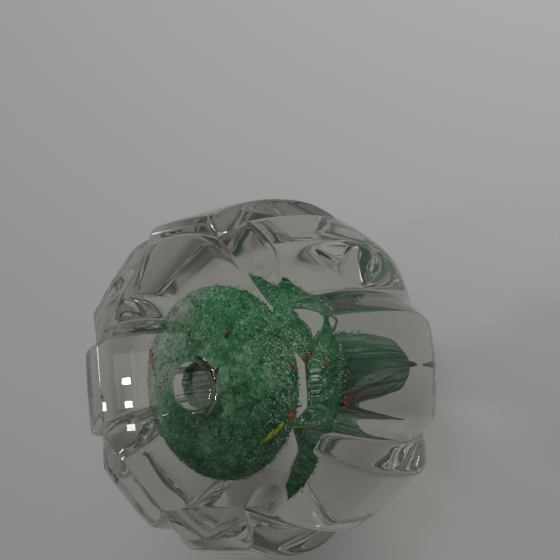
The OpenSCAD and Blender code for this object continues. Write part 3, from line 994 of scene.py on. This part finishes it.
# %% Red chips
red_glass = bit_glass("red_glass", (0.3, 0.03, 0.012, 1), (0.5, 0.12, 0.04, 1))
red_chips = scatter("red_chips_broken", coarse_shards,
                    [on_dome(-113, 24.3, 1.4), on_dome(-86, 24.5, 1.3)], [1.25, 0.95], red_glass,
                    seed=46, stretch=(0.8, 1.1))
settle(red_chips, "red_glass", "red_chips")

# %% Yellow cane
yellow_glass = bit_glass("yellow_glass", (0.34, 0.4, 0.03, 1), (0.05, 0.12, 0.02, 1), cells=420.0)
cane = sliver("yellow_cane_drawn", [on_dome(-118 - 3.8 * k, 23.5 - 0.5 * k, 1.15) for k in range(6)],
              [0.3, 0.6, 0.7, 0.66, 0.5, 0.22], yellow_glass, seed=47)
settle(cane, "yellow_glass", "yellow_cane")

# %% Rust ribbon
rust_glass = bit_glass("rust_glass", (0.3, 0.045, 0.015, 1), (0.04, 0.015, 0.008, 1), cells=350.0)
ribbon = sliver("rust_ribbon_drawn", [on_pear(-108 - 4.6 * k, 0.08 + 0.1 * k, 1.25) for k in range(7)],
                [0.2, 0.5, 0.72, 0.6, 0.74, 0.5, 0.2], rust_glass, seed=48)
settle(ribbon, "rust_glass", "rust_ribbon")

# %% Tail bead
bead_glass = bit_glass("bead_glass", (0.24, 0.05, 0.035, 1), (0.1, 0.03, 0.02, 1))
bead_low, bead_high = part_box("tip_bead")
bead_mid = [(a + b) / 2 / MM for a, b in zip(bead_low, bead_high)]
bead = scatter("tip_bead_melted", shard_templates(1, 40, seed=9, round_off=0.05), [bead_mid],
               [(bead_high.z - bead_low.z) / 2 / MM], bead_glass, seed=49, stretch=(0.92, 1.0), smooth=True)
settle(bead, "bead_glass", "tip_bead")

# %% [markdown]
# ## Stage, lights and camera
# A plain pale floor, a dim and uneven grey room, and one soft key that lights the floor and the core
# but stays out of reflections, or it would show white in every facet. Two far windows light the
# lobes from behind. A few small panes stand where the polished face mirrors them to the eye: a
# mirrored line of sight gives each its place. The camera looks down on the face at the angle that
# shows the socket and one lobe window, and it is rolled so that the face points left.

# %% Floor
floor_mesh = bpy.data.meshes.new("floor")
shape = bmesh.new()
bmesh.ops.create_circle(shape, cap_ends=True, segments=96, radius=12.0)
shape.to_mesh(floor_mesh)
shape.free()
floor = bpy.data.objects.new("floor", floor_mesh)
bpy.context.scene.collection.objects.link(floor)
floor_material, tree = new_material("pale_floor")
paper = put(tree, "ShaderNodeBsdfPrincipled", {"Base Color": (0.62, 0.62, 0.635, 1), "Roughness": 0.9,
                                               "Specular IOR Level": 0.1})
finish_material(tree, paper.outputs[0])
floor_mesh.materials.append(floor_material)

# %% Room light
world = bpy.data.worlds.new("room")
bpy.context.scene.world = world
world.use_nodes = True
tree = world.node_tree
tree.nodes.clear()
ways = tree.nodes.new("ShaderNodeTexCoord")
patches = put(tree, "ShaderNodeTexNoise", {"Scale": 1.6, "Detail": 2.0})
join(tree, ways.outputs["Generated"], patches.inputs["Vector"])
room = blend(tree, remap(tree, patches.outputs[0], 0.36, 0.64),
             (0.05, 0.048, 0.042, 1), (0.2, 0.195, 0.185, 1))
background = put(tree, "ShaderNodeBackground", {"Strength": 1.0})
join(tree, room, background.inputs["Color"])
join(tree, background.outputs[0], tree.nodes.new("ShaderNodeOutputWorld").inputs["Surface"])


# %% Lamps
def soft_panel(name, place, width, height, power, aim=(0, 0, 0.025)):
    """A rectangular area lamp at place, facing aim."""
    lamp = bpy.data.lights.new(name, "AREA")
    lamp.shape = "RECTANGLE"
    lamp.size, lamp.size_y, lamp.energy = width, height, power
    made = bpy.data.objects.new(name, lamp)
    made.location = place
    made.rotation_euler = (Vector(aim) - Vector(place)).to_track_quat("-Z", "Y").to_euler()
    bpy.context.scene.collection.objects.link(made)
    return made


eye = Vector((0.0, -0.334, 0.4223))
key = soft_panel("key_softbox", (0.32, -0.2, 0.31), 0.26, 0.26, 1.15)
key.visible_transmission = False
key.visible_glossy = False
soft_panel("window_far", (0.1, 1.2, 0.62), 0.16, 0.22, 2.6)
soft_panel("window_high", (0.55, 0.75, 0.5), 0.1, 0.16, 1.0)


# %% Window panes mirrored in the face
def seen_in_face(x, y):
    """Where a panel a metre off must stand for the eye to see it mirrored there in the face."""
    spot = Vector((x, y, body_h)) * MM
    ahead = (spot - eye).normalized()
    return spot + Vector((ahead.x, ahead.y, -ahead.z))


PANE_COUNT, PANE_STEP = 3, 6.0
WINDOW_X, WINDOW_Y = 3.0, 22.0
PANE_POWER = 0.0042
soft_panel("sky_patch", seen_in_face(WINDOW_X, WINDOW_Y - PANE_STEP / 2), 0.042, 0.03, 0.0028)
for k in range(PANE_COUNT):
    place = seen_in_face(WINDOW_X - PANE_STEP * k, WINDOW_Y)
    soft_panel("window_pane_%d" % (k + 1), place, 0.005, 0.006, PANE_POWER / (1 + k))
place = seen_in_face(WINDOW_X - PANE_STEP, WINDOW_Y + 1.5 * PANE_STEP)
soft_panel("window_pane_outer", place, 0.007, 0.003, PANE_POWER / 3)

# %% Camera
scene = bpy.context.scene
aim = Vector((0.024, -0.020, 0.0487))
view_up = Vector((0.993, -0.111, -0.030))
back = (eye - aim).normalized()
right = view_up.cross(back).normalized()
up = back.cross(right)
camera_data = bpy.data.cameras.new("camera")
camera_data.sensor_width = 36.0
camera_data.lens = 125.7
camera = bpy.data.objects.new("camera", camera_data)
camera.matrix_world = Matrix((
    (right.x, up.x, back.x, eye.x), (right.y, up.y, back.y, eye.y), (right.z, up.z, back.z, eye.z),
    (0, 0, 0, 1)))
scene.collection.objects.link(camera)
scene.camera = camera
scene.view_settings.view_transform = "Standard"
scene.cycles.max_bounces = 24
scene.cycles.transmission_bounces = 20
scene.cycles.transparent_max_bounces = 40
scene.cycles.glossy_bounces = 8
scene.cycles.caustics_reflective = False
scene.cycles.caustics_refractive = False
